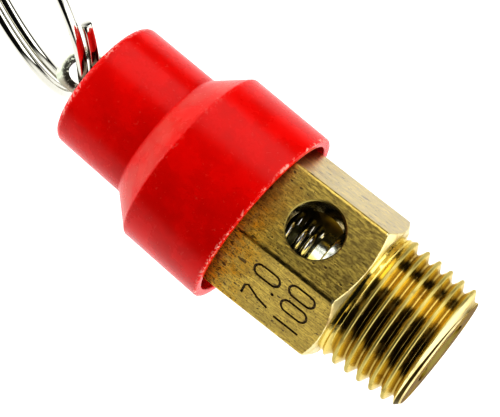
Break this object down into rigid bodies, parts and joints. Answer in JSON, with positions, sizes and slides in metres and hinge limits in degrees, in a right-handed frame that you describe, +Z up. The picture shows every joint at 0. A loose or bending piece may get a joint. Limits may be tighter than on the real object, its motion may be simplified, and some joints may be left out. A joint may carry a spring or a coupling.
{
  "type": "pressure relief valve",
  "caption": "Small air-compressor pressure relief valve: hex brass body with a tapered male inlet thread, side vents, loose red cap and a pull ring through the stem eye.",
  "frame": {"origin": "centre of the shoulder plane under the hex, on the valve axis, where the tapered shank begins", "axes": "+Z along the valve axis from the inlet towards the pull ring; -Y out of a hex flat that has a vent hole; +X to the right with +Z up seen from in front of that flat"},
  "size_m": [0.0189, 0.0247, 0.0645],
  "materials": {
    "brass": "satin drawn bar, stained near the cap",
    "plug_brass": "turned, satin",
    "nickel": "nickel plated, turned",
    "seal_rubber": "matt",
    "washer_steel": "stamped, dull",
    "stem_steel": "plated, satin",
    "spring_steel": "drawn wire, bright",
    "red_plastic": "moulded, soft gloss",
    "chrome": "plated wire, bright"
  },
  "bodies": {
    "body": {"valve_body": "brass", "spring_washer": "washer_steel", "adjusting_plug": "plug_brass", "locking_plug": "plug_brass", "relief_spring": "spring_steel"},
    "disc": {"valve_disc": "nickel", "seat_seal": "seal_rubber", "seal_washer": "washer_steel"},
    "stem": {"lift_stem": "stem_steel"},
    "ring": {"split_ring": "chrome"},
    "cap": {"cap": "red_plastic"}
  },
  "joints": [
    {"name": "disc_lift", "type": "slide", "parent": "body", "child": "disc", "axis": [0, 0, 1], "range_m": [0, 0.002], "stiffness_N_per_m": 8820, "springref_m": -0.00215, "deforming": ["relief_spring"]},
    {"name": "stem_turn", "type": "hinge", "parent": "disc", "child": "stem", "pos_m": [0, 0, 0], "axis": [0, 0, 1], "continuous": true},
    {"name": "ring_swing", "type": "hinge", "parent": "stem", "child": "ring", "pos_m": [0.00035, 0.00005, 0.03285], "axis": [-0.1392, 0.9903, 0], "range_deg": [-158, 112]},
    {"name": "cap_turn", "type": "hinge", "parent": "body", "child": "cap", "pos_m": [0, 0, 0.0165], "axis": [0.0471, 0, 0.9989], "continuous": true}
  ]
}
